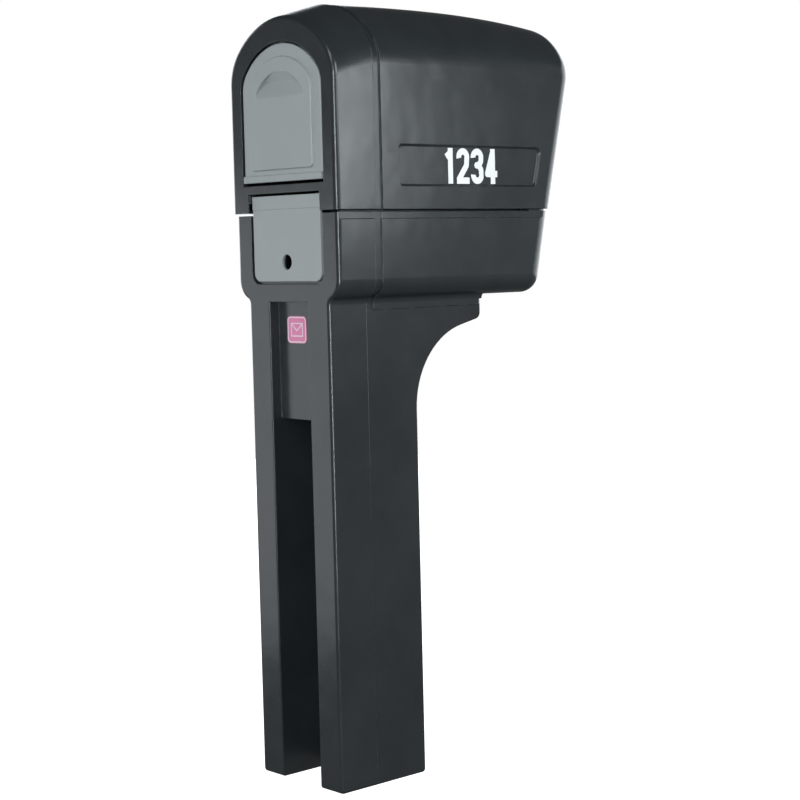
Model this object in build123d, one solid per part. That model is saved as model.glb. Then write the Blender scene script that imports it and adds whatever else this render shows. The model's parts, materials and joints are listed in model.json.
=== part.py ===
from build123d import *
import os
from math import atan, cos, radians, sin, sqrt, tan

# A plastic mailbox moulded in one with a sleeve that drops over a 4 x 4 timber post.
# Lengths are in millimetres. +Z is up and z = 0 is the ground. +Y points to the street and -Y to
# the house. The shapes are laid out with y = 0 on the house side of the sleeve at the ground, and
# save() shifts every piece so that the row's origin is on the post's axis.

# ---- driving dimensions ----
WALL = 4.0                  # moulded wall
GAP = 4.0                   # gap round each mail door

POST_SLOT = 102.0           # clear width for a nominal 4 x 4 post
SLEEVE_HALF = 109.0         # half width of the sleeve
SLEEVE_DEPTH = 194.0        # house side to street side at the ground
CHANNEL_BACK = 23.6         # the post stands between these two depths
CHANNEL_FRONT = CHANNEL_BACK + POST_SLOT - 0.6
WEB_FACE = 19.6             # face of the web that bridges the slot
WEB_LOW = 627.0
WEB_HIGH = 828.0
SIDE_STEP_FROM = 80.0       # the sleeve's sides step in from this depth on
SIDE_STEP = 2.0
SIDE_STEP_TOP = 812.0
SLEEVE_EDGE_R = 9.0
HOUSE_EDGE_R = 8.0
FOOT_EDGE_R = 6.0
FOOT_T = 6.0                # closed bottom of the hollow legs
DRAIN_R = 6.0
DRAIN_X, DRAIN_Y = 80.0, 150.0
SLOT_EDGE_R = 2.5

BOX_HALF = 136.0            # newspaper box, half width
BOX_BACK = 0.0
BOX_UNDER = 830.0
BOX_TOP = 975.0
BOX_EDGE_R = 34.0           # long lower edges
BOX_FRONT_LOW = 481.0       # street face at the underside, before rounding
BOX_FRONT_HIGH = 511.0      # street face at the top
BOX_CORNER_R = 36.0
BOX_RIM_H, BOX_RIM_IN = 11.0, 1.5  # the sides step in just under the hood
SHOULDER_R = 12.0           # hollow between the box and the sleeve
FLOOR_TOP = 857.0           # floor of the newspaper box
FLOOR_T = 6.0

CORBEL_R = 143.0            # hollow curve under the overhang
CORBEL_LOW = 638.0
CORBEL_SLOPE = 13.5
CORBEL_NOSE = 350.0
CORBEL_NOSE_R = 12.0
COVE_R = 14.0               # hollow between the nose and the box's underside

HOOD_HALF = 140.0
HOOD_BACK = -5.0
HOOD_LOW = 979.0
HOOD_APEX = 1328.0          # ridge over the groove
HOOD_CROWN_R = 155.0
HOOD_SIDE_R = 75.0
FACE_APEX = 1303.0          # the house-side face is lower than the ridge
FACE_CROWN_R = 160.0
FACE_SIDE_R = 85.0
HOOD_EDGE_R = 9.0
GROOVE_FROM = 80.0
GROOVE_TO = 96.0
GROOVE_DEEP = 3.5
BOX_GROOVE_DEEP = 3.0
FRONT_TILT = 13.0           # the street face leans out towards the top
HOOD_FRONT_LOW = 509.0
HOOD_FRONT_R = 30.0
RIDGE_FALL = ((0.0, 0.0), (140.0, 3.0), (320.0, 0.0), (520.0, -21.0))  # along the roof, from the groove

FLANGE_IN = 92.0            # joint flanges reach in to this half width
LAND_OUT = 112.0            # outside of the raised land that carries the hood
FLANGE_FROM = 22.0
FLANGE_TO = 470.0
FRONT_LAND_IN = 3.0         # the land's distance inside the box at the street end
JOINT_SCREW_R = 3.0
HEAD_ROUND = 0.4            # rounding of a screw head, as a share of its height
SOCKET_FLOOR = 0.4          # height of the hex socket's floor, as a share of the head's height
SOCKET_WIDTH = 0.5          # socket corner from the middle, as a share of the head's radius
HOLE_CLEAR = 0.3
JOINT_SCREW_X = 102.0
JOINT_SCREW_Y = (60.0, 245.0, 430.0)

DECK_TOP = 1017.0           # floor of the mail compartment
DECK_HALF = 128.0
SKIRT_X = 120.0

LABEL_FROM, LABEL_TO = 132.0, 477.0
LABEL_LOW, LABEL_HIGH = 1017.0, 1088.0
LABEL_DEEP = 4.0
LABEL_CORNER_R = 9.0
LABEL_DRAFT = 45.0          # slope of the recess's walls, in degrees

REAR_DOOR_HALF = 104.0
REAR_DOOR_LOW = 1030.0
REAR_DOOR_APEX = 1259.0
REAR_DOOR_CROWN_R = 120.0
REAR_DOOR_SIDE_R = 47.0
DOOR_SINK = 1.5             # door face behind the hood's face
DOOR_T = 7.0
DOOR_EDGE_R = 2.0
REVEAL_DEEP = DOOR_SINK + DOOR_T + 1.0
STOP_T = 3.0
STOP_REACH = 5.0
LIP_H, LIP_PROUD = 12.0, 3.0
PANEL_INSET, PANEL_PROUD = 21.0, 4.0
PANEL_EDGE_R, PANEL_CORNER_R = 3.0, 8.0
SCOOP_HALF, SCOOP_LOW, SCOOP_HIGH = 68.0, 1168.0, 1213.0
SCOOP_CREASE, SCOOP_DEEP = 1196.0, 10.0
SCOOP_CORNER_R = 7.0
HINGE_RISE = 7.0            # hinge axis above a mail door's lower edge
HINGE_DEEP = 4.0            # hinge axis behind the door's face
PIN_R = 2.5
PIN_CLEAR = 0.05
PIN_LENGTH = 18.0
LUG_R = 5.0
MAGNET_HOLDER = (32.0, 14.0, 10.0)
MAGNET = (24.0, 8.0, 8.0)
STRIKE_T = 1.0
STRIKE_SCREW_X = 18.0

FLAP_HALF = 90.0
FLAP_LOW, FLAP_TOP = 862.0, 1007.0
FLAP_FACE = 0.0
FLAP_T = 5.0
FLAP_EDGE_R = 1.5
FLAP_BAND_LOW, FLAP_BAND_PROUD = 984.0, 0.8   # stiffer band along the hinge
FLAP_PIN_Z = 1003.0
FLAP_PIN_R = 2.0
FLAP_PIN_LENGTH = 14.0
FLAP_LUG_BACK = 11.0
FINGER_HOLE_R = 13.0
FINGER_HOLE_Z = 895.0
MOUTH_HALF = 96.0           # openings at both ends of the newspaper box
MOUTH_LOW, MOUTH_HIGH = 865.0, 961.0

FRONT_DOOR_HALF = 104.0
FRONT_DOOR_LOW = 52.0       # measured up the leaning street face from the hood's lower edge
FRONT_DOOR_APEX = 284.0
GRIP = (70.0, 8.0, 20.0)    # pull on the street-side door: wide, thick, proud
GRIP_DOWN = 40.0            # its middle below the door's top

FLAG_PIVOT_Y, FLAG_PIVOT_Z = 420.0, 1150.0
FLAG_ARM = 200.0
FLAG_ARM_W = 20.0
FLAG_T = 3.0
FLAG_BLADE = (80.0, 62.0)
FLAG_STANDOFF = 2.0

POST_SCREW_PITCH = 60.0
POST_SCREW_R = 3.0          # threaded part
POST_SHANK_R, POST_SHANK_LENGTH = 3.25, 8.5   # plain part under the head
POST_SCREW_LENGTH = 60.0
WASHER_T = 1.5

DIGIT_H, DIGIT_W = 61.0, 30.0
DIGIT_STROKE = 11.0
DIGIT_PITCH = 34.0
DIGIT_FROM = 236.0
DIGIT_LOW = 1022.0
VINYL_T = 0.4
BADGE_LOW, BADGE_HIGH = 757.0, 803.0
BADGE_FROM, BADGE_TO = -28.0, 23.0

POST_AXIS_Y = (CHANNEL_BACK + CHANNEL_FRONT) / 2
TILT = tan(radians(FRONT_TILT))


# ---- helpers ----
def save(shape, node):
    """Shift a piece into the row's frame and write it."""
    export_step(shape.moved(Location((0, -POST_AXIS_Y, 0))), f"parts/{node}.step")


def across(y):
    """Sketch plane across the box: its x is X and its y is Z."""
    return Plane(origin=(0, y, 0), x_dir=(1, 0, 0), z_dir=(0, -1, 0))


def along(x):
    """Sketch plane along the box: its x is Y and its y is Z."""
    return Plane(origin=(x, 0, 0), x_dir=(0, 1, 0), z_dir=(1, 0, 0))


def block(x0, x1, y0, y1, z0, z1):
    size = Box(x1 - x0, y1 - y0, z1 - z0)
    return size.moved(Location(((x0 + x1) / 2, (y0 + y1) / 2, (z0 + z1) / 2)))


def pair(shape):
    """A piece and its mirror image about the box's middle plane."""
    return shape, mirror(shape, about=Plane.YZ)


def rod(radius, length, centre, axis):
    """A round bar of a given length about its centre."""
    turn = {"x": (0, 90, 0), "y": (90, 0, 0), "z": (0, 0, 0)}[axis]
    return Cylinder(radius, length).moved(Location(centre, turn))


def arch(half, apex, crown_r, side_r, low):
    """Closed outline of straight sides under a three-centred arch, as a flat face."""
    crown_z = apex - crown_r
    side_x = half - side_r
    side_z = crown_z + sqrt((crown_r - side_r) ** 2 - side_x ** 2)
    reach = crown_r / (crown_r - side_r)
    meet = (side_x * reach, crown_z + (side_z - crown_z) * reach)
    lean = atan((meet[1] - side_z) / (meet[0] - side_x)) / 2
    bend = (side_x + side_r * cos(lean), side_z + side_r * sin(lean))
    outline = [
        Line((-half, low), (half, low)),
        Line((half, low), (half, side_z)),
        ThreePointArc((half, side_z), bend, meet),
        ThreePointArc(meet, (0, apex), (-meet[0], meet[1])),
        ThreePointArc((-meet[0], meet[1]), (-bend[0], bend[1]), (-half, side_z)),
        Line((-half, side_z), (-half, low)),
    ]
    return make_face(outline)


def front_y(z, inset=0.0):
    """Depth of the hood's leaning street face at a height."""
    return HOOD_FRONT_LOW + (z - HOOD_LOW) * TILT - inset / cos(radians(FRONT_TILT))


def front_plane(sink=0.0):
    """Plane of the street face: its x is -X and its y runs up the face."""
    tilt = radians(FRONT_TILT)
    origin = (0, front_y(HOOD_LOW) - sink * cos(tilt), HOOD_LOW + sink * sin(tilt))
    return Plane(origin=origin, x_dir=(-1, 0, 0), z_dir=(0, cos(tilt), -sin(tilt)))


# ---- sleeve and newspaper box, one moulding ----
def sleeve_profile(inset):
    """Side outline of the sleeve and the corbel under the overhang."""
    back = inset
    street = SLEEVE_DEPTH - inset
    radius = CORBEL_R + inset
    centre_y = SLEEVE_DEPTH + CORBEL_R
    end = radians(90 - CORBEL_SLOPE)
    mid = end / 2
    start = (street, CORBEL_LOW)
    middle = (centre_y - radius * cos(mid), CORBEL_LOW + radius * sin(mid))
    finish = (centre_y - radius * cos(end), CORBEL_LOW + radius * sin(end))
    nose_y = CORBEL_NOSE - inset
    nose = (nose_y, finish[1] + (nose_y - finish[0]) * tan(radians(CORBEL_SLOPE)))
    top = BOX_UNDER + 12
    outline = [
        Line((back, 0), (street, 0)),
        Line((street, 0), start),
        ThreePointArc(start, middle, finish),
        Line(finish, nose),
        Line(nose, (nose_y, top)),
        Line((nose_y, top), (back, top)),
        Line((back, top), (back, 0)),
    ]
    face = make_face(outline)
    corner = face.vertices().sort_by_distance((*nose, 0))[0]
    return fillet(corner, CORBEL_NOSE_R - inset)


def sleeve_form(inset):
    """Solid bounded by the sleeve's outside, or by its inside at an inset."""
    return extrude(along(0) * sleeve_profile(inset), SLEEVE_HALF - inset, both=True)


def box_plan(front, inset):
    """Plan of the newspaper box: square at the house side, round at the street side."""
    half = BOX_HALF - inset
    back = BOX_BACK + inset
    front = front - inset
    radius = BOX_CORNER_R - inset
    cut = radius * (1 - sqrt(0.5))
    outline = [
        Line((-half, back), (half, back)),
        Line((half, back), (half, front - radius)),
        ThreePointArc((half, front - radius), (half - cut, front - cut), (half - radius, front)),
        Line((half - radius, front), (radius - half, front)),
        ThreePointArc((radius - half, front), (cut - half, front - cut), (-half, front - radius)),
        Line((-half, front - radius), (-half, back)),
    ]
    return make_face(outline)


def box_form(inset):
    """Solid bounded by the newspaper box's outside, or by its inside at an inset."""
    low = BOX_UNDER + inset
    slope = (BOX_FRONT_HIGH - BOX_FRONT_LOW) / (BOX_TOP - BOX_UNDER)
    low_front = BOX_FRONT_LOW + slope * inset
    low_plan = Plane.XY.offset(low) * box_plan(low_front, inset)
    high_plan = Plane.XY.offset(BOX_TOP) * box_plan(BOX_FRONT_HIGH, inset)
    body = loft([low_plan, high_plan], ruled=True)
    lower = body.edges().filter_by_position(Axis.Z, low - 0.1, low + 0.1)
    rounded = [e for e in lower if e.center().Y > BOX_BACK + inset + 1]
    return fillet(rounded, BOX_EDGE_R - inset)


def shoulder_arc(inset):
    """Foot, middle and top of the hollow between the sleeve's side and the box's lower edge."""
    convex_x = BOX_HALF - BOX_EDGE_R
    convex_z = BOX_UNDER + BOX_EDGE_R
    hollow_x = SLEEVE_HALF + SHOULDER_R
    span = BOX_EDGE_R + SHOULDER_R
    rise = sqrt(span ** 2 - (hollow_x - convex_x) ** 2)
    hollow_z = convex_z - rise
    share = (BOX_EDGE_R - inset) / span
    top = (convex_x + (hollow_x - convex_x) * share, convex_z - rise * share)
    turn = atan((top[1] - hollow_z) / (hollow_x - top[0])) / 2
    radius = SHOULDER_R + inset
    middle = (hollow_x - radius * cos(turn), hollow_z + radius * sin(turn))
    return (SLEEVE_HALF - inset, hollow_z), middle, top


def shoulder():
    """Hollow strip that blends the box's lower edge into the sleeve's side."""
    foot, bend, top = shoulder_arc(0)
    inner_x = SLEEVE_HALF - 2
    outline = [
        Line(foot, (inner_x, foot[1])),
        Line((inner_x, foot[1]), (inner_x, top[1] + 4)),
        Line((inner_x, top[1] + 4), (top[0] - 2, top[1] + 4)),
        Line((top[0] - 2, top[1] + 4), top),
        ThreePointArc(top, bend, foot),
    ]
    strip = across(BOX_BACK) * make_face(outline)
    return pair(extrude(strip, CORBEL_NOSE - BOX_BACK, dir=(0, 1, 0)))


def flank(inset, start, end):
    """Solid from the middle to one side of the box, shoulder and sleeve, at an inset from it."""
    foot, bend, top = shoulder_arc(inset)
    low, high = SIDE_STEP_TOP - 30, BOX_TOP + 30
    half = BOX_HALF - inset
    edge = (half, BOX_UNDER + BOX_EDGE_R)
    radius = BOX_EDGE_R - inset
    turn = (radians(90) + atan((top[0] - BOX_HALF + BOX_EDGE_R) / (edge[1] - top[1]))) / 2
    middle = (BOX_HALF - BOX_EDGE_R + radius * sin(turn), edge[1] - radius * cos(turn))
    outline = [
        Line((0, low), (foot[0], low)),
        Line((foot[0], low), foot),
        ThreePointArc(foot, bend, top),
        ThreePointArc(top, middle, edge),
        Line(edge, (half, high)),
        Line((half, high), (0, high)),
        Line((0, high), (0, low)),
    ]
    return extrude(across(start) * make_face(outline), end - start, dir=(0, 1, 0))


def flange(z0, z1, outer):
    """Inward flange along both sides of a moulding, with clearance holes for the joint screws."""
    bar = block(FLANGE_IN, outer, FLANGE_FROM, FLANGE_TO, z0, z1)
    for y in JOINT_SCREW_Y:
        bar -= rod(JOINT_SCREW_R + HOLE_CLEAR, 40, (JOINT_SCREW_X, y, (z0 + z1) / 2), "z")
    return pair(bar)


def side_groove():
    """Groove that carries the hood's down the box's side and round under it, and its backing."""
    deep = BOX_GROOVE_DEEP
    cut = block(SLEEVE_HALF - deep, 200, GROOVE_FROM, GROOVE_TO, SIDE_STEP_TOP, BOX_TOP + 10)
    cut -= flank(deep, GROOVE_FROM - 1, GROOVE_TO + 1)
    start, end = GROOVE_FROM - WALL, GROOVE_TO + WALL
    back = flank(deep - 1, start, end) - flank(deep + WALL, start - 1, end + 1)
    back &= block(SLEEVE_HALF, 200, start, end, BOX_UNDER + WALL / 2, BOX_TOP - 1)
    return pair(cut), pair(back)


def post_screw_places():
    half = POST_SCREW_PITCH / 2
    return [(x, POST_AXIS_Y + y) for x in (-half, half) for y in (-half, half)]


def lower_outside():
    """Outside of the sleeve and box, with the long edges rounded."""
    body = sleeve_form(0)
    street = [e for e in body.edges() if e.center().Y > SLEEVE_DEPTH - 1 and e.center().Z < BOX_UNDER - 5
              and abs(abs(e.center().X) - SLEEVE_HALF) < 0.1]
    body = fillet(street, SLEEVE_EDGE_R)
    body += box_form(0)
    for strip in shoulder():
        body += strip
    body += cove()
    house = [e for e in body.edges() if e.center().Y < 0.1 and abs(e.center().X) > SLEEVE_HALF - 1
             and 1 < e.center().Z < BOX_TOP - 1 and e.bounding_box().size.Y < 0.1]
    body = fillet(house, HOUSE_EDGE_R)
    return fillet([e for e in body.edges() if e.bounding_box().max.Z < 0.1], FOOT_EDGE_R)


def cove():
    """Hollow strip between the corbel's nose and the box's underside."""
    low = BOX_UNDER - COVE_R
    out = CORBEL_NOSE + COVE_R
    cut = COVE_R * (1 - sqrt(0.5))
    outline = make_face([
        Line((CORBEL_NOSE, low), (CORBEL_NOSE - 2, low)),
        Line((CORBEL_NOSE - 2, low), (CORBEL_NOSE - 2, BOX_UNDER + 2)),
        Line((CORBEL_NOSE - 2, BOX_UNDER + 2), (out, BOX_UNDER + 2)),
        Line((out, BOX_UNDER + 2), (out, BOX_UNDER)),
        ThreePointArc((out, BOX_UNDER), (CORBEL_NOSE + cut, BOX_UNDER - cut), (CORBEL_NOSE, low)),
    ])
    return extrude(along(0) * outline, SLEEVE_HALF - SLEEVE_EDGE_R, both=True)


def rim_step():
    """Step round the top of the box's sides, with a rounded lower edge."""
    foot = BOX_TOP - BOX_RIM_H
    inner = BOX_HALF - BOX_RIM_IN
    cut = BOX_RIM_IN * sqrt(0.5)
    outline = make_face([
        Line((inner, BOX_TOP + 1), (inner, foot)),
        ThreePointArc((inner, foot), (inner + cut, foot - BOX_RIM_IN + cut), (BOX_HALF, foot - BOX_RIM_IN)),
        Line((BOX_HALF, foot - BOX_RIM_IN), (BOX_HALF + 5, foot - BOX_RIM_IN)),
        Line((BOX_HALF + 5, foot - BOX_RIM_IN), (BOX_HALF + 5, BOX_TOP + 1)),
        Line((BOX_HALF + 5, BOX_TOP + 1), (inner, BOX_TOP + 1)),
    ])
    return pair(extrude(across(BOX_BACK - 1) * outline, BOX_FRONT_HIGH, dir=(0, 1, 0)))


def front_land():
    """Plate over the box's street end, and the land on it that carries the hood there."""
    street = block(-200, 200, FLANGE_TO - 20, 600, 0, 2000)
    base = Plane.XY.offset(BOX_TOP - WALL)
    plate = extrude(base * box_plan(BOX_FRONT_HIGH, WALL / 2), WALL)
    land = extrude(base * box_plan(BOX_FRONT_HIGH, FRONT_LAND_IN), WALL + HOOD_LOW - BOX_TOP)
    opening = block(-FLANGE_IN, FLANGE_IN, 0, FLANGE_TO, 0, 2000)
    return (plate + land) & street - opening


def lower_shell():
    """Sleeve, corbel and newspaper box: hollow walls, and a drain hole under each leg."""
    half = POST_SLOT / 2
    outside = lower_outside()
    under_floor = block(-200, 200, -50, 600, 0, FLOOR_TOP - FLOOR_T)
    over_floor = block(-200, 200, -50, 600, FLOOR_TOP, BOX_TOP + 1)
    hollow = sleeve_form(WALL + SIDE_STEP) + (box_form(WALL) & under_floor)
    hollow -= block(-half - WALL, half + WALL, -20, CHANNEL_FRONT + WALL, -1, BOX_TOP)
    hollow -= block(-200, 200, -50, 600, -1, FOOT_T)
    for drain in pair(rod(DRAIN_R, 2 * FOOT_T + 2, (DRAIN_X, DRAIN_Y, 0), "z")):
        hollow += drain
    shell = outside - hollow - (box_form(WALL) & over_floor)
    shell -= block(-half, half, -20, CHANNEL_FRONT, -1, WEB_HIGH)
    shell -= block(-half, half, CHANNEL_BACK, CHANNEL_FRONT, 0, FLOOR_TOP - FLOOR_T)
    slot = [e for e in shell.edges() if abs(abs(e.center().X) - half) < 0.1 and e.bounding_box().max.Y < 0.1
            and e.center().Z < WEB_HIGH - 1]
    shell = fillet(slot, SLOT_EDGE_R)
    shell += block(-half - 1, half + 1, WEB_FACE, CHANNEL_BACK, WEB_LOW, WEB_HIGH + 2)
    for step in pair(block(SLEEVE_HALF - SIDE_STEP, 200, SIDE_STEP_FROM, CORBEL_NOSE + 1, -1, SIDE_STEP_TOP)):
        shell -= step
    cuts, backs = side_groove()
    for back in backs:
        shell += back
    for cut in cuts + rim_step():
        shell -= cut
    for bar in flange(BOX_TOP - WALL, BOX_TOP, BOX_HALF - WALL + 0.5):
        shell += bar
    for bar in flange(BOX_TOP, HOOD_LOW, LAND_OUT):
        shell += bar
    shell += front_land()
    stop_from, stop_to = FLAP_FACE + FLAP_T + 1, FLAP_FACE + FLAP_T + 5
    for stop in pair(block(FLAP_HALF - 5, BOX_HALF - 2, stop_from, stop_to, FLOOR_TOP - 1, BOX_TOP - WALL)):
        shell += stop
    rear_mouth = RectangleRounded(2 * MOUTH_HALF, 2 * (BOX_TOP - FLOOR_TOP - 1), 18)
    shell -= extrude(across(-20) * Pos(0, BOX_TOP) * rear_mouth, 24, dir=(0, 1, 0))
    shell += block(-FLAP_HALF, FLAP_HALF, stop_from, stop_to, FLOOR_TOP - 1, FLAP_LOW + 5)
    street_mouth = RectangleRounded(2 * MOUTH_HALF, MOUTH_HIGH - MOUTH_LOW, 22)
    middle = (MOUTH_HIGH + MOUTH_LOW) / 2
    shell -= extrude(across(430) * Pos(0, middle) * street_mouth, 120, dir=(0, 1, 0))
    for x, y in post_screw_places():
        shell -= rod(POST_SHANK_R + HOLE_CLEAR, 40, (x, y, FLOOR_TOP), "z")
    return shell


# ---- hood ----
def hood_pieces(inset):
    """Collar, groove neck and main roof of the hood, at an inset from its outside."""
    half = HOOD_HALF - inset
    low = HOOD_LOW + inset
    face = across(HOOD_BACK + inset) * arch(
        half, FACE_APEX - inset, FACE_CROWN_R - inset, FACE_SIDE_R - inset, low)
    ridge = across(GROOVE_FROM - inset) * arch(
        half, HOOD_APEX - inset, HOOD_CROWN_R - inset, HOOD_SIDE_R - inset, low)
    collar = loft([face, ridge], ruled=True)
    sink = inset + GROOVE_DEEP
    neck = across(GROOVE_FROM - inset - 2) * arch(
        HOOD_HALF - sink, HOOD_APEX - sink, HOOD_CROWN_R - sink, HOOD_SIDE_R - sink, low)
    neck = extrude(neck, GROOVE_TO - GROOVE_FROM + 2 * inset + 4, dir=(0, 1, 0))
    sections = [
        across(GROOVE_TO + inset + y) * arch(
            half, HOOD_APEX + fall - inset, HOOD_CROWN_R - inset, HOOD_SIDE_R - inset, low)
        for y, fall in RIDGE_FALL
    ]
    roof = loft(sections)
    past_front = make_face([
        Line((front_y(900, inset), 900), (front_y(1400, inset), 1400)),
        Line((front_y(1400, inset), 1400), (800, 1400)),
        Line((800, 1400), (800, 900)),
        Line((800, 900), (front_y(900, inset), 900)),
    ])
    roof -= extrude(along(0) * past_front, 300, both=True)
    return collar, neck, roof


def rim(face, low):
    """Edges of an end face, without the one at the bottom."""
    return [e for e in face.edges() if e.center().Z > low + 1]


def hood_form(inset):
    """Solid bounded by the hood's outside, or by its inside at an inset."""
    collar, neck, roof = hood_pieces(inset)
    low = HOOD_LOW + inset
    if inset == 0:
        collar = fillet(rim(collar.faces().sort_by(Axis.Y)[0], low), HOOD_EDGE_R)
    roof = fillet(rim(roof.faces().sort_by(Axis.Y)[-1], low), HOOD_FRONT_R - inset)
    return collar + neck + roof


def rear_door_outline(grow=0.0):
    """Outline of the house-side mail door, grown all round."""
    return arch(REAR_DOOR_HALF + grow, REAR_DOOR_APEX + grow, REAR_DOOR_CROWN_R + grow,
                REAR_DOOR_SIDE_R + grow, REAR_DOOR_LOW - (grow + 1 if grow else 0))


def front_door_outline(grow=0.0):
    """Outline of the street-side mail door, measured up the leaning face, grown all round."""
    return arch(FRONT_DOOR_HALF + grow, FRONT_DOOR_APEX + grow, REAR_DOOR_CROWN_R + grow,
                REAR_DOOR_SIDE_R + grow, FRONT_DOOR_LOW - (grow + 1 if grow else 0))


def doorway(plane, outline, low):
    """Return round a door opening with a stop behind the door, and the hole through the wall."""
    hole = extrude(plane * outline(GAP), REVEAL_DEEP + 10, both=True)
    tube = extrude(plane * outline(GAP + WALL), -REVEAL_DEEP) - hole
    seat = plane.offset(-REVEAL_DEEP)
    stop = extrude(seat * outline(GAP + WALL), -STOP_T) - extrude(seat * outline(-STOP_REACH), -STOP_T)
    above = extrude(seat * (Pos(0, low + 25 + 200) * Rectangle(400, 400)), -STOP_T)
    return hole, tube + (stop & above)


def face_point(plane, up, depth):
    """Depth and height, in the row's layout, of a place on a door's plane behind its face."""
    at = plane.from_local_coords((0, up, -depth))
    return at.Y, at.Z


def rear_axis():
    return face_point(across(HOOD_BACK), REAR_DOOR_LOW + HINGE_RISE, DOOR_SINK + HINGE_DEEP)


def front_axis():
    return face_point(front_plane(), FRONT_DOOR_LOW + HINGE_RISE, DOOR_SINK + HINGE_DEEP)


def hinge_lugs(y, z):
    """Round bosses on both sides of a door opening, before their holes."""
    length = WALL + 4
    return pair(rod(LUG_R, length, (REAR_DOOR_HALF + GAP + length / 2, y, z), "x"))


def pin_holes(y, z, radius, inner, outer):
    return pair(rod(radius, outer - inner, ((inner + outer) / 2, y, z), "x"))


def on_door(plane, across_x, up, depth, size):
    """Box centred at a place on a door's plane; depth is to its nearer face."""
    return plane * Pos(across_x, up, -depth - size[2] / 2) * Box(*size)


def label_outline(low, high, start, end):
    """Panel outline for house numbers; its street end leans like the street face."""
    lean = (high - low) * TILT
    outline = make_face([
        Line((start, low), (end - lean, low)),
        Line((end - lean, low), (end, high)),
        Line((end, high), (start, high)),
        Line((start, high), (start, low)),
    ])
    return fillet(outline.vertices(), LABEL_CORNER_R)


def label_recess():
    """Shallow recess with sloping walls for house numbers, on both sides, and its backing."""
    slope = LABEL_DEEP * tan(radians(LABEL_DRAFT))
    mouth = label_outline(LABEL_LOW, LABEL_HIGH, LABEL_FROM, LABEL_TO)
    floor = label_outline(LABEL_LOW + slope, LABEL_HIGH - slope, LABEL_FROM + slope, LABEL_TO - slope)
    cut = loft([along(HOOD_HALF) * mouth, along(HOOD_HALF - LABEL_DEEP) * floor], ruled=True)
    cut += extrude(along(HOOD_HALF) * mouth, 5)
    back = block(HOOD_HALF - LABEL_DEEP - WALL + 1, HOOD_HALF - WALL / 2, LABEL_FROM - 2, LABEL_TO + 2,
                 LABEL_LOW - 2, LABEL_HIGH + 2)
    return pair(cut), pair(back)


def hood():
    outside = hood_form(0)
    shell = outside - hood_form(WALL)
    shell -= block(-FLANGE_IN, FLANGE_IN, FLANGE_FROM, FLANGE_TO, HOOD_LOW - 1, HOOD_LOW + WALL + 1)
    for plane, outline, low, apex, axis in (
            (across(HOOD_BACK), rear_door_outline, REAR_DOOR_LOW, REAR_DOOR_APEX, rear_axis()),
            (front_plane(), front_door_outline, FRONT_DOOR_LOW, FRONT_DOOR_APEX, front_axis())):
        hole, frame = doorway(plane, outline, low)
        shell = shell - hole + (frame & outside)
        for lug in hinge_lugs(*axis):
            shell += lug
        inner = REAR_DOOR_HALF + GAP - 1
        for drill in pin_holes(*axis, PIN_R, inner, inner + PIN_LENGTH):
            shell -= drill
        shell += on_door(plane, 0, apex - 3, REVEAL_DEEP, MAGNET_HOLDER)
    shell -= block(-MOUTH_HALF, MOUTH_HALF, -40, FLANGE_FROM + 1, HOOD_LOW - 1, FLAP_TOP + 4)
    for lug in pair(block(FLAP_HALF + 2, MOUTH_HALF + 6, HOOD_BACK + 3, FLAP_LUG_BACK, 996, 1010)):
        shell += lug
    for drill in pin_holes(flap_axis_y(), FLAP_PIN_Z, FLAP_PIN_R, FLAP_HALF, FLAP_HALF + FLAP_PIN_LENGTH):
        shell -= drill
    recesses, backs = label_recess()
    for back in backs:
        shell += back
    for recess in recesses:
        shell -= recess
    for x in (-JOINT_SCREW_X, JOINT_SCREW_X):
        for y in JOINT_SCREW_Y:
            shell -= rod(JOINT_SCREW_R + HOLE_CLEAR, 20, (x, y, HOOD_LOW), "z")
    shell -= rod(JOINT_SCREW_R + HOLE_CLEAR, 30, (-HOOD_HALF, FLAG_PIVOT_Y, FLAG_PIVOT_Z), "x")
    return shell


def mail_floor():
    """Ribbed floor of the mail compartment on two skirts that stand on the hood's flange."""
    deck = block(-DECK_HALF, DECK_HALF, 4, 500, DECK_TOP - WALL, DECK_TOP)
    for x in (-80, -40, 0, 40, 80):
        deck += block(x - 2, x + 2, 20, 488, DECK_TOP, DECK_TOP + 1.5)
    skirt = block(SKIRT_X - 2, SKIRT_X + 2, FLANGE_FROM, FLANGE_TO, HOOD_LOW + WALL, DECK_TOP)
    foot = block(FLANGE_IN + 4, SKIRT_X, FLANGE_FROM, FLANGE_TO, HOOD_LOW + WALL, HOOD_LOW + 2 * WALL)
    for y in JOINT_SCREW_Y:
        foot -= rod(JOINT_SCREW_R + HOLE_CLEAR, 30, (JOINT_SCREW_X, y, HOOD_LOW), "z")
    for part in pair(skirt + foot):
        deck += part
    return deck


# ---- doors ----
def door_leaf(plane, outline):
    """Flat door with a rounded rim and a raised panel with soft edges."""
    outward = Axis(plane.origin, plane.z_dir)
    leaf = extrude(plane * outline(), -DOOR_T)
    leaf = fillet(leaf.faces().sort_by(outward)[-1].edges(), DOOR_EDGE_R)
    shape = outline(-PANEL_INSET)
    shape = fillet(shape.vertices().sort_by(Axis.Y)[:2], PANEL_CORNER_R)
    panel = extrude(plane * shape, PANEL_PROUD)
    return leaf + fillet(panel.faces().sort_by(outward)[-1].edges(), PANEL_EDGE_R)


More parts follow.
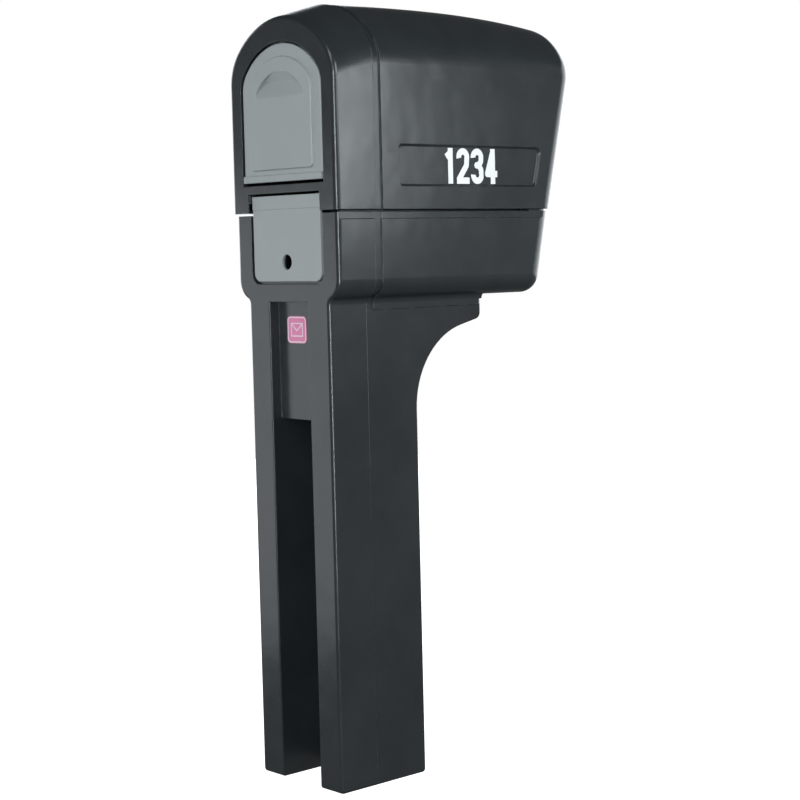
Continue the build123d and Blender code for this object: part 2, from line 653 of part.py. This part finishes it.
def scoop(front):
    """Half-moon thumb recess, deepest along a crease below its arched top."""
    moon = make_face([
        Line((-SCOOP_HALF, SCOOP_LOW), (SCOOP_HALF, SCOOP_LOW)),
        ThreePointArc((SCOOP_HALF, SCOOP_LOW), (0, SCOOP_HIGH), (-SCOOP_HALF, SCOOP_LOW)),
    ])
    moon = fillet(moon.vertices(), SCOOP_CORNER_R)
    wedge = make_face(Polyline(
        (front - 1, SCOOP_LOW), (front + SCOOP_DEEP, SCOOP_CREASE), (front - 1, SCOOP_HIGH + 1),
        (front - 1, SCOOP_LOW)))
    return extrude(across(front - 2) * moon, 20, dir=(0, 1, 0)) & extrude(along(0) * wedge, 100, both=True)


def rear_mail_door():
    face = HOOD_BACK + DOOR_SINK
    door = door_leaf(across(face), rear_door_outline)
    lip = block(-REAR_DOOR_HALF, REAR_DOOR_HALF, face - LIP_PROUD, face + 1,
                REAR_DOOR_LOW, REAR_DOOR_LOW + LIP_H)
    door += fillet(lip.faces().sort_by(Axis.Y)[0].edges().filter_by(Axis.X), 1.5)
    door += block(-SCOOP_HALF / 2, SCOOP_HALF / 2, face + DOOR_T, face + DOOR_T + 3,
                  SCOOP_CREASE - 10, SCOOP_CREASE + 10)
    door -= scoop(face - PANEL_PROUD)
    inner = REAR_DOOR_HALF - PIN_LENGTH / 2
    for drill in pin_holes(*rear_axis(), PIN_R + PIN_CLEAR, inner, REAR_DOOR_HALF + 1):
        door -= drill
    for x in (-STRIKE_SCREW_X, STRIKE_SCREW_X):
        door -= strike_screw(across(HOOD_BACK), x, REAR_DOOR_APEX)
    return door


def front_mail_door():
    plane = front_plane(DOOR_SINK)
    door = door_leaf(plane, front_door_outline)
    grip = Box(*GRIP)
    grip = fillet(grip.edges().filter_by(Axis.X).group_by(Axis.Z)[-1], GRIP[1] / 2 - 1)
    door += plane * Pos(0, FRONT_DOOR_APEX - GRIP_DOWN, GRIP[2] / 2) * grip
    inner = REAR_DOOR_HALF - PIN_LENGTH / 2
    for drill in pin_holes(*front_axis(), PIN_R + PIN_CLEAR, inner, REAR_DOOR_HALF + 1):
        door -= drill
    for x in (-STRIKE_SCREW_X, STRIKE_SCREW_X):
        door -= strike_screw(front_plane(), x, FRONT_DOOR_APEX)
    return door


def flap_axis_y():
    return FLAP_FACE + FLAP_T / 2


def newspaper_door():
    plane = across(FLAP_FACE)
    outline = RectangleRounded(2 * FLAP_HALF, 2 * (FLAP_TOP - FLAP_LOW), 15)
    door = extrude(plane * Pos(0, FLAP_TOP) * outline, FLAP_T, dir=(0, 1, 0))
    door &= block(-200, 200, -50, 50, FLAP_LOW - 5, FLAP_TOP)
    outer = door.faces().sort_by(Axis.Y)[0].edges()
    door = fillet([e for e in outer if e.center().Z < FLAP_TOP - 1], FLAP_EDGE_R)
    band = block(-FLAP_HALF, FLAP_HALF, FLAP_FACE - FLAP_BAND_PROUD, FLAP_FACE + 2, FLAP_BAND_LOW, FLAP_TOP)
    door += fillet(band.faces().sort_by(Axis.Y)[0].edges(), FLAP_BAND_PROUD * 0.9)
    hole = rod(FINGER_HOLE_R, 40, (0, FLAP_FACE, FINGER_HOLE_Z), "y")
    door -= hole
    inner = FLAP_HALF - FLAP_PIN_LENGTH / 2
    for drill in pin_holes(flap_axis_y(), FLAP_PIN_Z, FLAP_PIN_R + PIN_CLEAR, inner, FLAP_HALF + 1):
        door -= drill
    return door


def mail_door_pins(axis):
    inner = REAR_DOOR_HALF - PIN_LENGTH / 2 + 1
    return Compound(children=list(pin_holes(*axis, PIN_R, inner, REAR_DOOR_HALF + GAP - 1 + PIN_LENGTH / 2)))


def flap_pins():
    inner = FLAP_HALF - FLAP_PIN_LENGTH / 2 + 1
    outer = FLAP_HALF + FLAP_PIN_LENGTH / 2
    return Compound(children=list(pin_holes(flap_axis_y(), FLAP_PIN_Z, FLAP_PIN_R, inner, outer)))


# ---- magnetic catches ----
def magnet(plane, apex):
    return on_door(plane, 0, apex - 14, REVEAL_DEEP + 0.5, MAGNET)


def strike_screw(plane, x, apex):
    """Small screw through the strike plate, seen from the compartment."""
    head = plane * Pos(x, apex - 15, -DOOR_SINK - DOOR_T - STRIKE_T - 0.8) * Cylinder(3, 1.6)
    shank = plane * Pos(x, apex - 15, -DOOR_SINK - DOOR_T - STRIKE_T + 2.5) * Cylinder(1.5, 5)
    return head + shank


def strike_screws(plane, apex):
    return Compound(children=[strike_screw(plane, x, apex) for x in (-STRIKE_SCREW_X, STRIKE_SCREW_X)])


def strike_plate(plane, apex):
    plate = on_door(plane, 0, apex - 15, DOOR_SINK + DOOR_T, (2 * STRIKE_SCREW_X + 8, 12, STRIKE_T))
    for x in (-STRIKE_SCREW_X, STRIKE_SCREW_X):
        plate -= strike_screw(plane, x, apex)
    return plate


# ---- flag ----
def flag():
    """Arm and blade in one plate, stored level along the side away from the numbers."""
    end = FLAG_PIVOT_Y - FLAG_ARM
    arm = block(-FLAG_T / 2, FLAG_T / 2, end, FLAG_PIVOT_Y, FLAG_PIVOT_Z - FLAG_ARM_W / 2,
                FLAG_PIVOT_Z + FLAG_ARM_W / 2)
    blade = block(-FLAG_T / 2, FLAG_T / 2, end, end + FLAG_BLADE[0], FLAG_PIVOT_Z - FLAG_ARM_W / 2,
                  FLAG_PIVOT_Z - FLAG_ARM_W / 2 + FLAG_BLADE[1])
    plate = arm + rod(FLAG_ARM_W / 2, FLAG_T, (0, FLAG_PIVOT_Y, FLAG_PIVOT_Z), "x") + blade
    corners = [e for e in plate.edges().filter_by(Axis.X) if e.center().Y < end + FLAG_BLADE[0] + 1]
    outer = [e for e in corners if e.center().Z > FLAG_PIVOT_Z + FLAG_ARM_W or e.center().Y < end + 1]
    plate = fillet(outer, 6)
    x = -HOOD_HALF - FLAG_STANDOFF - FLAG_T / 2
    plate = plate.moved(Location((x, 0, 0)))
    return plate - rod(JOINT_SCREW_R + PIN_CLEAR, 20, (x, FLAG_PIVOT_Y, FLAG_PIVOT_Z), "x")


def at_pivot(radius, x0, x1):
    return rod(radius, x1 - x0, ((x0 + x1) / 2, FLAG_PIVOT_Y, FLAG_PIVOT_Z), "x")


def hexagon(across_flats, x0, x1):
    nut = extrude(RegularPolygon(across_flats / 2, 6, major_radius=False), x1 - x0)
    return Location((x0, FLAG_PIVOT_Y, FLAG_PIVOT_Z)) * Rotation(0, 90, 0) * nut


def pan_head(radius, height):
    """Rounded screw head with a hex socket, resting on z = 0."""
    head = Pos(0, 0, height / 2) * Cylinder(radius, height)
    head = fillet(head.edges().sort_by(Axis.Z)[-1], HEAD_ROUND * height)
    floor = Plane.XY.offset(SOCKET_FLOOR * height)
    return head - extrude(floor * RegularPolygon(SOCKET_WIDTH * radius, 6), height)


def flag_hardware():
    """Spacer, bolt, inner washer and lock nut on the flag's pivot."""
    wall = -HOOD_HALF
    spacer = at_pivot(10, wall - FLAG_STANDOFF, wall) - at_pivot(JOINT_SCREW_R, wall - 5, wall + 5)
    arm_face = wall - FLAG_STANDOFF - FLAG_T
    head = Pos(arm_face, FLAG_PIVOT_Y, FLAG_PIVOT_Z) * Rot(0, -90, 0) * pan_head(7, 3.5)
    bolt = head + at_pivot(JOINT_SCREW_R, arm_face - 1, wall + 14)
    inner = wall + WALL
    washer = at_pivot(8, inner, inner + 1.5) - at_pivot(JOINT_SCREW_R, inner - 1, inner + 3)
    nut = hexagon(10, inner + 1.5, inner + 7.5) - at_pivot(JOINT_SCREW_R, inner, inner + 9)
    return spacer, bolt, washer, nut


# ---- joint and post hardware ----
def upright(places, shape):
    return Compound(children=[shape.moved(Location(place)) for place in places])


def joint_places(z):
    return [(x, y, z) for x in (-JOINT_SCREW_X, JOINT_SCREW_X) for y in JOINT_SCREW_Y]


def pan_screw(head_r, head_h, shank_r, length):
    """Screw whose head rests on z = 0 and whose shank points down."""
    return pan_head(head_r, head_h) + Pos(0, 0, -length / 2) * Cylinder(shank_r, length)


def joint_nut():
    nut = extrude(RegularPolygon(5, 6, major_radius=False), 5)
    return nut - Pos(0, 0, 2.5) * Cylinder(JOINT_SCREW_R, 6)


def washer(outer, inner, thick):
    return Pos(0, 0, thick / 2) * (Cylinder(outer, thick) - Cylinder(inner, thick))


# ---- numbers and badge ----
def digit_strokes(digit):
    """Centre lines of a bold digit, and the places where they join, from its lower left corner."""
    w = DIGIT_W - DIGIT_STROKE
    h = DIGIT_H - DIGIT_STROKE
    r = w / 2
    end = DIGIT_STROKE / 2      # free ends reach the digit's top or bottom
    if digit == 1:
        stem = w * 0.72
        return [Line((w * 0.2, h * 0.8), (stem, h - end * 0.4)), Line((stem, h + end), (stem, -end))], []
    if digit == 2:
        shoulder_at = (w, h - r)
        turn = (w * 0.93, h * 0.52)
        return [ThreePointArc((0, h - r - 2), (r, h), shoulder_at), Line(shoulder_at, turn),
                Line(turn, (0, end / 2)), Line((-end, 0), (w + end, 0))], [shoulder_at, turn, (0, end / 2)]
    if digit == 3:
        waist = (r * 0.9, h * 0.53)
        high, low = (w, h * 0.76), (w, h * 0.27)
        return [ThreePointArc((0, h - r - 1), (r, h), high), ThreePointArc(high, (w * 0.86, h * 0.6), waist),
                ThreePointArc(waist, (w * 0.88, h * 0.45), low),
                ThreePointArc(low, (r, 0), (0, r + 1))], [high, waist, low]
    bar = h * 0.24
    apex = (w * 0.72, h)
    return [Line((w * 0.72, -end), (w * 0.72, h + end)), Line(apex, (0, bar)),
            Line((0, bar), (w + end, bar))], [apex, (0, bar)]


def digit_sticker(place, digit):
    """One vinyl digit on the recess's floor."""
    lines, joins = digit_strokes(digit)
    face = Sketch()
    for line in lines:
        face += trace(line, DIGIT_STROKE)
    for join in joins:
        face += Pos(*join) * Circle(DIGIT_STROKE / 2)
    inset = DIGIT_STROKE / 2
    face &= Pos(DIGIT_W / 2 - inset, DIGIT_H / 2 - inset) * Rectangle(DIGIT_W, DIGIT_H)
    spot = Pos(DIGIT_FROM + place * DIGIT_PITCH + inset, DIGIT_LOW + inset)
    return extrude(along(HOOD_HALF - LABEL_DEEP) * spot * face, VINYL_T)


def badge():
    width, height = BADGE_TO - BADGE_FROM, BADGE_HIGH - BADGE_LOW
    middle = Pos((BADGE_FROM + BADGE_TO) / 2, (BADGE_LOW + BADGE_HIGH) / 2)
    return extrude(across(WEB_FACE) * middle * RectangleRounded(width, height, 8), VINYL_T)


def main():
    os.makedirs("parts", exist_ok=True)
    save(lower_shell(), "lower_shell")
    save(hood(), "hood")
    save(mail_floor(), "mail_floor")
    save(rear_mail_door(), "rear_mail_door")
    save(front_mail_door(), "front_mail_door")
    save(newspaper_door(), "newspaper_door")
    save(mail_door_pins(rear_axis()), "rear_door_hinge_pins")
    save(mail_door_pins(front_axis()), "front_door_hinge_pins")
    save(flap_pins(), "newspaper_door_hinge_pins")
    for side, plane, apex in (("rear", across(HOOD_BACK), REAR_DOOR_APEX),
                              ("front", front_plane(), FRONT_DOOR_APEX)):
        save(magnet(plane, apex), f"{side}_door_magnet")
        save(strike_plate(plane, apex), f"{side}_door_strike_plate")
        save(strike_screws(plane, apex), f"{side}_strike_plate_screws")
    save(flag(), "flag")
    hardware = ("flag_spacer", "flag_pivot_bolt", "flag_washer", "flag_lock_nut")
    for shape, node in zip(flag_hardware(), hardware):
        save(shape, node)
    screw = pan_screw(5, 3, JOINT_SCREW_R, 26)
    save(upright(joint_places(HOOD_LOW + 2 * WALL), screw), "hood_screws")
    save(upright(joint_places(BOX_TOP - WALL - 5), joint_nut()), "hood_screw_nuts")
    floor_places = [(x, y, FLOOR_TOP) for x, y in post_screw_places()]
    save(upright(floor_places, washer(8, POST_SHANK_R + 0.2, WASHER_T)), "post_screw_washers")
    head_places = [(x, y, FLOOR_TOP + WASHER_T) for x, y in post_screw_places()]
    post_screw = pan_screw(5.5, 3.5, POST_SCREW_R, POST_SCREW_LENGTH)
    post_screw += Pos(0, 0, -POST_SHANK_LENGTH / 2) * Cylinder(POST_SHANK_R, POST_SHANK_LENGTH)
    save(upright(head_places, post_screw), "post_screws")
    for place, digit in enumerate((1, 2, 3, 4)):
        save(digit_sticker(place, digit), f"house_number_digit_{place + 1}")
    save(badge(), "badge_sticker")


main()
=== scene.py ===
import bpy
import bmesh
import json
import math
from mathutils import Matrix, Vector


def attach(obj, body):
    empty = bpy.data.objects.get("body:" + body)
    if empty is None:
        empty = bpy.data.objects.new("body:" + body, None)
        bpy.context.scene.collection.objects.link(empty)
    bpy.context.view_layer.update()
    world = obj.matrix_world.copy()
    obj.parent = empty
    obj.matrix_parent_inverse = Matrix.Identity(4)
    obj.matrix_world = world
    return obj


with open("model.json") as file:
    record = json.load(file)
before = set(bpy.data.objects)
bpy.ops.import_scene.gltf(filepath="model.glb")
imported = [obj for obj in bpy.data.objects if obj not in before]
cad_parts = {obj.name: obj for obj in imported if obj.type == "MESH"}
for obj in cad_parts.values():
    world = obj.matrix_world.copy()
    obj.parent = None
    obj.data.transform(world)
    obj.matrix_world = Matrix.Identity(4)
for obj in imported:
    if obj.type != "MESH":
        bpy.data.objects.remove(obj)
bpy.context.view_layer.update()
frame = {"nodes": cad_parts, "record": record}
NODES = frame["nodes"]
scene = bpy.context.scene


# ---- camera ----
CAMERA_PLACE = (2.4378, -2.0110, 0.9106)
CAMERA_RIGHT = Vector((0.6687, 0.7432, -0.0240))
CAMERA_UP = Vector((-0.0444, 0.0721, 0.9964))
LENS_MM = 82.79
SENSOR_MM = 36.0


def add_camera():
    """The photograph's view: from the numbered side and the house side, looking slightly down."""
    data = bpy.data.cameras.new("camera")
    data.lens = LENS_MM
    data.sensor_width = SENSOR_MM
    camera = bpy.data.objects.new("camera", data)
    back = CAMERA_RIGHT.cross(CAMERA_UP)
    turn = Matrix((CAMERA_RIGHT, CAMERA_UP, back)).transposed().to_4x4()
    camera.matrix_world = Matrix.Translation(CAMERA_PLACE) @ turn
    scene.collection.objects.link(camera)
    scene.camera = camera


# ---- materials ----
SHEEN_SWING = 0.025      # how far roughness wanders either side of its middle value
PLASTIC_IOR = 1.5
METAL_SWING = 0.2        # from a metal's roughness up to that of its dull spots
EDGE_STARTS, EDGE_FULL = 0.98, 0.80      # cosine between the softened and the true normal
SHARP_ANGLE = math.radians(32)


class Graph:
    """A material's node tree with short calls for adding and joining nodes."""

    def __init__(self, name):
        self.material = bpy.data.materials.new(name)
        self.material.use_nodes = True
        self.tree = self.material.node_tree
        self.shader = self.tree.nodes["Principled BSDF"]

    def add(self, kind, **values):
        node = self.tree.nodes.new("ShaderNode" + kind)
        for key, value in values.items():
            setattr(node, key, value)
        return node

    def join(self, source, target):
        self.tree.links.new(source, target)

    def place(self):
        """Position in the row frame, in metres."""
        return self.add("TexCoord").outputs["Object"]

    def noise(self, scale, detail=3.0, roughness=0.55, stretch=(1, 1, 1)):
        mapping = self.add("Mapping")
        mapping.inputs["Scale"].default_value = stretch
        self.join(self.place(), mapping.inputs["Vector"])
        node = self.add("TexNoise")
        node.inputs["Scale"].default_value = scale
        node.inputs["Detail"].default_value = detail
        node.inputs["Roughness"].default_value = roughness
        self.join(mapping.outputs["Vector"], node.inputs["Vector"])
        return node.outputs["Fac"]

    def spread(self, source, low, high, out_low, out_high):
        node = self.add("MapRange")
        for key, value in (("From Min", low), ("From Max", high), ("To Min", out_low), ("To Max", out_high)):
            node.inputs[key].default_value = value
        self.join(source, node.inputs["Value"])
        return node.outputs["Result"]

    def ramp(self, source, stops):
        node = self.add("ValToRGB")
        ramp = node.color_ramp
        while len(ramp.elements) < len(stops):
            ramp.elements.new(0.5)
        for element, (at, colour) in zip(ramp.elements, stops):
            element.position = at
            element.color = (*colour, 1.0)
        self.join(source, node.inputs["Fac"])
        return node.outputs["Color"]

    def blend_colour(self, amount, under, over):
        """Colour that goes from one to another where amount rises from 0 to 1."""
        node = self.add("Mix", data_type="RGBA")
        self.join(amount, node.inputs["Factor"])
        self.join(under, node.inputs["A"])
        node.inputs["B"].default_value = (*over, 1.0)
        return node.outputs["Result"]

    def edges(self, radius):
        """Mask of sharp edges, broken up by noise."""
        bevel = self.add("Bevel", samples=4)
        bevel.inputs["Radius"].default_value = radius
        dot = self.add("VectorMath", operation="DOT_PRODUCT")
        self.join(bevel.outputs["Normal"], dot.inputs[0])
        self.join(self.add("NewGeometry").outputs["Normal"], dot.inputs[1])
        edge = self.spread(dot.outputs["Value"], EDGE_STARTS, EDGE_FULL, 0.0, 1.0)
        broken = self.spread(self.noise(45.0, 5.0), 0.40, 0.68, 0.15, 1.0)
        product = self.add("Math", operation="MULTIPLY")
        self.join(edge, product.inputs[0])
        self.join(broken, product.inputs[1])
        return product.outputs["Value"]

    def bump(self, sources, bevel=None):
        """Chain of bumps, each (height, strength, distance), over an optional softened edge."""
        normal = None
        if bevel:
            node = self.add("Bevel", samples=6)
            node.inputs["Radius"].default_value = bevel
            normal = node.outputs["Normal"]
        for height, strength, distance in sources:
            node = self.add("Bump")
            node.inputs["Strength"].default_value = strength
            node.inputs["Distance"].default_value = distance
            self.join(height, node.inputs["Height"])
            if normal:
                self.join(normal, node.inputs["Normal"])
            normal = node.outputs["Normal"]
        self.join(normal, self.shader.inputs["Normal"])


def moulded_plastic(name, dark, light, rough, grain=900.0, worn=None, bevel=0.0012, waves=0.25):
    """Moulded plastic: fine grain, slow tone changes, an uneven sheen and rubbed edges."""
    g = Graph(name)
    colour = g.ramp(g.noise(7.0, 4.0), ((0.3, dark), (0.7, light)))
    roughness = g.spread(g.noise(16.0, 5.0), 0.3, 0.7, rough - SHEEN_SWING, rough + SHEEN_SWING)
    if worn:
        edge = g.edges(bevel * 1.6)
        colour = g.blend_colour(edge, colour, worn)
    g.join(colour, g.shader.inputs["Base Color"])
    g.join(roughness, g.shader.inputs["Roughness"])
    g.shader.inputs["IOR"].default_value = PLASTIC_IOR
    g.bump(((g.noise(9.0, 2.0), waves, 0.006), (g.noise(grain, 3.0), 0.12, 0.0004)), bevel)
    return g.material


def metal(name, tint, rough):
    """Plated metal with drawn streaks and small spots of dullness."""
    g = Graph(name)
    dark = tuple(c * 0.7 for c in tint)
    g.join(g.ramp(g.noise(120.0, 4.0), ((0.3, dark), (0.7, tint))), g.shader.inputs["Base Color"])
    g.shader.inputs["Metallic"].default_value = 1.0
    g.join(g.spread(g.noise(400.0, 3.0, stretch=(1, 1, 6)), 0.3, 0.7, rough, rough + METAL_SWING),
           g.shader.inputs["Roughness"])
    g.bump(((g.noise(900.0, 2.0), 0.2, 0.0001),))
    return g.material


MATERIALS = {
    "black_polyethylene": moulded_plastic(
        "black_polyethylene", (0.017, 0.020, 0.021), (0.025, 0.029, 0.030), 0.24, worn=(0.075, 0.082, 0.084),
        bevel=0.002),
    "grey_polyethylene": moulded_plastic(
        "grey_polyethylene", (0.325, 0.345, 0.342), (0.355, 0.375, 0.37), 0.42, worn=(0.40, 0.44, 0.445)),
    "zinc_steel": metal("zinc_steel", (0.62, 0.62, 0.60), 0.28),
    "ferrite": moulded_plastic("ferrite", (0.02, 0.02, 0.022), (0.04, 0.04, 0.042), 0.6, 1500.0),
    "red_plastic": moulded_plastic(
        "red_plastic", (0.42, 0.018, 0.014), (0.55, 0.03, 0.022), 0.38, worn=(0.62, 0.10, 0.08),
        bevel=0.0008),
    "white_vinyl": moulded_plastic(
        "white_vinyl", (0.80, 0.80, 0.79), (0.90, 0.90, 0.89), 0.42, 1500.0, bevel=0.0002, waves=0.02),
    "badge_paper": moulded_plastic(
        "badge_paper", (0.62, 0.11, 0.28), (0.80, 0.24, 0.43), 0.35, 1500.0, bevel=0.0002, waves=0.02),
}
PRINT_INK = moulded_plastic(
    "badge_print", (0.80, 0.62, 0.68), (0.90, 0.74, 0.79), 0.35, 1500.0, bevel=0.00005, waves=0.02)


def dress_nodes():
    """Gives every CAD node its slot's material and smooth shading over its gentle curves."""
    slots = {s["node"]: s["material_slot"] for s in frame["record"]["subparts"]}
    for name, node in NODES.items():
        node.data.materials.clear()
        node.data.materials.append(MATERIALS[slots[name]])
        for polygon in node.data.polygons:
            polygon.material_index = 0
        node.data.shade_smooth()
        node.data.set_sharp_from_angle(angle=SHARP_ANGLE)


# ---- printed mark on the badge ----
PRINT_LINE = 0.0022      # width of a printed line, and how far the rim's line keeps from the badge's edge
PRINT_THICK = 0.0001
RIM_RADIUS = 0.006
MITRE_LIMIT = 0.35
ENVELOPE_WIDE, ENVELOPE_TALL = 0.58, 0.42        # half sizes, as shares of the badge's half width
FOLD_WIDE, FOLD_TOP, FOLD_DIP = 0.9, 0.85, 0.15  # the fold's V, as shares of the envelope's half sizes


def stroke(shape, points, width, thick, closed):
    """Raised line of even width along flat points (x, z), mitred at its corners, facing -Y."""
    count = len(points)
    sides = ([], [])
    for i, point in enumerate(points):
        before = points[(i - 1) % count] if closed or i else None
        after = points[(i + 1) % count] if closed or i < count - 1 else None
        into = (Vector(point) - Vector(before)).normalized() if before else None
        out = (Vector(after) - Vector(point)).normalized() if after else into
        into = into or out
        across = Vector((-(into.y + out.y), into.x + out.x)).normalized()
        reach = width / 2 / max(MITRE_LIMIT, across.dot(Vector((-out.y, out.x))))
        for side, sign in zip(sides, (-1, 1)):
            side.append(Vector(point) + sign * reach * across)
    rings = [[shape.verts.new((p.x, y, p.y)) for p in side] for y in (0.0, -thick) for side in sides]
    back_a, back_b, front_a, front_b = rings
    spans = range(count if closed else count - 1)
    for near, far in ((front_a, front_b), (back_b, back_a), (back_a, front_a), (front_b, back_b)):
        for i in spans:
            j = (i + 1) % count
            shape.faces.new((near[i], near[j], far[j], far[i]))
    if not closed:
        for i in (0, count - 1):
            shape.faces.new((back_a[i], back_b[i], front_b[i], front_a[i]))


def rounded_box(half_x, half_z, radius, steps=6):
    """Flat points (x, z) round a box about the origin, with steps spans to each rounded corner."""
    corners = ((1, 1, 0), (-1, 1, 90), (-1, -1, 180), (1, -1, 270))
    points = []
    for sx, sz, start in corners:
        for k in range(steps + 1):
            turn = math.radians(start + 90 * k / steps)
            points.append((sx * (half_x - radius) + radius * math.cos(turn),
                           sz * (half_z - radius) + radius * math.sin(turn)))
    return points


def add_badge_print():
    """Pale rim and a plain envelope, printed on the badge."""
    corners = [Vector(v.co) for v in NODES["badge_sticker"].data.vertices]
    low = Vector([min(c[i] for c in corners) for i in range(3)])
    high = Vector([max(c[i] for c in corners) for i in range(3)])
    half_x, half_z = (high.x - low.x) / 2, (high.z - low.z) / 2
    shape = bmesh.new()
    rim = rounded_box(half_x - PRINT_LINE, half_z - PRINT_LINE, RIM_RADIUS)
    wide, tall = half_x * ENVELOPE_WIDE, half_x * ENVELOPE_TALL
    envelope = ((wide, tall), (-wide, tall), (-wide, -tall), (wide, -tall))
    fold = ((-wide * FOLD_WIDE, tall * FOLD_TOP), (0, -tall * FOLD_DIP), (wide * FOLD_WIDE, tall * FOLD_TOP))
    for line, closed in ((rim, True), (envelope, True), (fold, False)):
        stroke(shape, line, PRINT_LINE, PRINT_THICK, closed)
    bmesh.ops.recalc_face_normals(shape, faces=shape.faces)
    data = bpy.data.meshes.new("badge_print")
    shape.to_mesh(data)
    shape.free()
    data.materials.append(PRINT_INK)
    mark = bpy.data.objects.new("badge_print", data)
    mark.location = ((low.x + high.x) / 2, low.y, (low.z + high.z) / 2)
    scene.collection.objects.link(mark)
    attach(mark, "mailbox")


# ---- studio ----
FLOOR_RADIUS = 5.0
LIGHT_COLOUR = (0.93, 1.0, 1.05)
SKY_STOPS = ((0.0, 0.05), (0.30, 0.20), (0.5, 0.27), (0.72, 0.05))   # height from nadir 0 to zenith 1, grey
SKY_GREEN, SKY_BLUE = 1.04, 1.06                                     # against red
LAMPS = (
    # name, place, what it faces, its two sides in metres, watts
    ("overhead", (1.1, -2.2, 2.9), (0, 0, 1.0), (1.4, 1.0), 20),
    ("side_fill", (2.7, 0.5, 1.9), (0.1, 0.15, 0.8), (1.2, 1.2), 34),
    ("corner_strip", (2.30, -2.70, 0.95), (0, 0, 0.85), (0.24, 2.2), 80),
    ("number_side_panel", (1.66, 1.10, 1.27), (0.14, -0.06, 1.13), (0.26, 0.56), 5.6),
    ("street_fill", (0, 4.6, 1.6), (0, 0.3, 0.95), (5.0, 3.0), 90),
    ("flag_side_fill", (-4.2, 0.9, 1.6), (-0.1, 0.2, 0.95), (5.0, 3.0), 90),
    ("house_side_panel", (-1.62, -1.47, 0.45), (0.05, -0.08, 0.65), (1.1, 1.3), 6.4),
)


def add_floor():
    """Pale glowing disc, kept out of what the object reflects and is lit by."""
    data = bpy.data.meshes.new("studio_floor")
    shape = bmesh.new()
    bmesh.ops.create_circle(shape, cap_ends=True, segments=96, radius=FLOOR_RADIUS)
    shape.to_mesh(data)
    shape.free()
    floor = bpy.data.objects.new("studio_floor", data)
    g = Graph("studio_floor")
    g.join(g.ramp(g.noise(3.0), ((0.3, (0.86, 0.86, 0.86)), (0.7, (0.88, 0.88, 0.88)))),
           g.shader.inputs["Base Color"])
    g.shader.inputs["Roughness"].default_value = 0.9
    g.shader.inputs["Emission Color"].default_value = (1.0, 1.0, 1.0, 1.0)
    g.shader.inputs["Emission Strength"].default_value = 1.0
    data.materials.append(g.material)
    scene.collection.objects.link(floor)
    floor.visible_diffuse = False
    floor.visible_glossy = False


def soft_light(name, place, target, size, power):
    """Rectangular lamp that faces its target."""
    data = bpy.data.lights.new(name, "AREA")
    data.shape = "RECTANGLE"
    data.size, data.size_y = size
    data.energy = power
    data.color = LIGHT_COLOUR
    light = bpy.data.objects.new(name, data)
    light.location = place
    light.rotation_euler = (Vector(target) - Vector(place)).to_track_quat("-Z", "Y").to_euler()
    scene.collection.objects.link(light)


def add_world():
    """White to the camera; to everything else brightest at the horizon."""
    world = bpy.data.worlds.new("studio")
    scene.world = world
    world.use_nodes = True
    tree = world.node_tree
    background = tree.nodes["Background"]
    coords = tree.nodes.new("ShaderNodeTexCoord")
    split = tree.nodes.new("ShaderNodeSeparateXYZ")
    level = tree.nodes.new("ShaderNodeMapRange")
    level.inputs["From Min"].default_value = -1.0
    ramp = tree.nodes.new("ShaderNodeValToRGB")
    while len(ramp.color_ramp.elements) < len(SKY_STOPS):
        ramp.color_ramp.elements.new(0.5)
    for element, (at, grey) in zip(ramp.color_ramp.elements, SKY_STOPS):
        element.position = at
        element.color = (grey, SKY_GREEN * grey, SKY_BLUE * grey, 1)
    tree.links.new(coords.outputs["Generated"], split.inputs[0])
    tree.links.new(split.outputs["Z"], level.inputs["Value"])
    tree.links.new(level.outputs["Result"], ramp.inputs["Fac"])
    tree.links.new(ramp.outputs["Color"], background.inputs["Color"])
    white = tree.nodes.new("ShaderNodeBackground")
    white.inputs["Color"].default_value = (1, 1, 1, 1)
    path = tree.nodes.new("ShaderNodeLightPath")
    mix = tree.nodes.new("ShaderNodeMixShader")
    tree.links.new(path.outputs["Is Camera Ray"], mix.inputs["Fac"])
    tree.links.new(background.outputs[0], mix.inputs[1])
    tree.links.new(white.outputs[0], mix.inputs[2])
    tree.links.new(mix.outputs[0], tree.nodes["World Output"].inputs["Surface"])


def light_scene():
    scene.view_settings.view_transform = "Standard"
    add_world()
    add_floor()
    for lamp in LAMPS:
        soft_light(*lamp)


dress_nodes()
add_badge_print()
add_camera()
light_scene()
